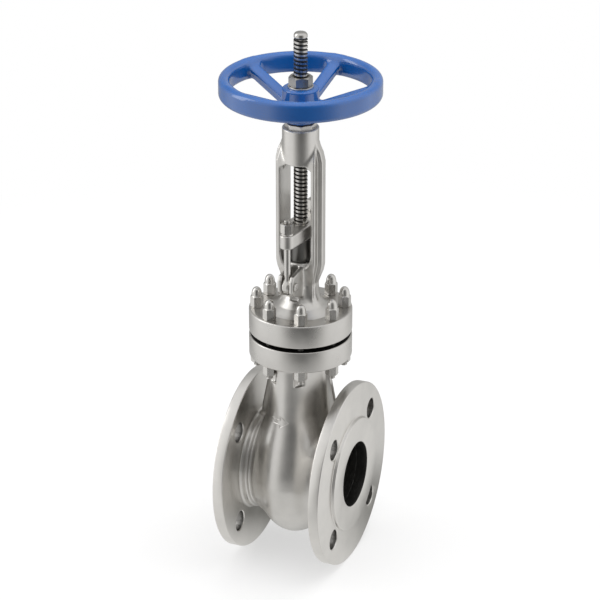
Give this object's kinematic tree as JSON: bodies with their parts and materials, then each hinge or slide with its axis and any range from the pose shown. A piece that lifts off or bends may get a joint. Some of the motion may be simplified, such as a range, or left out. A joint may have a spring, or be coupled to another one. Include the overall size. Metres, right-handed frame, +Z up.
{
  "type": "gate valve",
  "caption": "Flanged wedge gate valve with bolted bonnet, outside yoke, rising threaded stem, gland and spoked handwheel.",
  "frame": {"origin": "middle of the valve in plan, level with the lowest point of the end flanges", "axes": "+X along the pipe towards the outlet flange, +Z up the stem, -Y the front side, so the port axis is parallel to X at z = 0.0825 m"},
  "size_m": [0.138, 0.165, 0.486],
  "materials": {
    "cast_stainless": "bead-blasted and pickled stainless casting, satin",
    "turned_stainless": "turned stainless, fine tool lines",
    "fastener_steel": "bright stainless fasteners",
    "stem_steel": "ground stainless bar with cut thread",
    "seat_alloy": "lapped hard facing",
    "bronze": "machined bronze",
    "graphite": "pressed graphite, matt",
    "blue_paint": "satin blue paint over cast iron"
  },
  "bodies": {
    "valve_body": {"body": "cast_stainless", "bonnet_yoke": "cast_stainless", "bonnet_gasket": "graphite", "bonnet_studs": "fastener_steel", "bonnet_lower_nuts": "fastener_steel", "bonnet_cap_nuts": "fastener_steel", "seat_ring_inlet": "seat_alloy", "seat_ring_outlet": "seat_alloy", "back_seat_bush": "seat_alloy", "packing_rings": "graphite", "gland_bush": "turned_stainless", "gland_flange": "cast_stainless", "gland_eyebolt_front": "fastener_steel", "gland_eyebolt_rear": "fastener_steel", "gland_pins": "fastener_steel", "gland_washers": "fastener_steel", "gland_nuts": "fastener_steel", "lower_thrust_washer": "bronze", "upper_thrust_washer": "bronze", "yoke_retainer": "turned_stainless"},
    "stem_gate": {"stem": "stem_steel", "wedge": "cast_stainless"},
    "handwheel_set": {"handwheel": "blue_paint", "stem_nut": "turned_stainless", "handwheel_key": "fastener_steel", "handwheel_washer": "fastener_steel", "handwheel_nut": "fastener_steel"}
  },
  "joints": [
    {"name": "handwheel_turn", "type": "hinge", "parent": "valve_body", "child": "handwheel_set", "pos_m": [0, 0, 0.42], "axis": [0, 0, 1], "range_deg": [0, 5760]},
    {"name": "stem_lift", "type": "slide", "parent": "valve_body", "child": "stem_gate", "axis": [0, 0, 1], "range_m": [0, 0.056]}
  ],
  "couplings": [
    {"joint": "stem_lift", "follows": "handwheel_turn", "m_per_rad": 0.00055704}
  ]
}
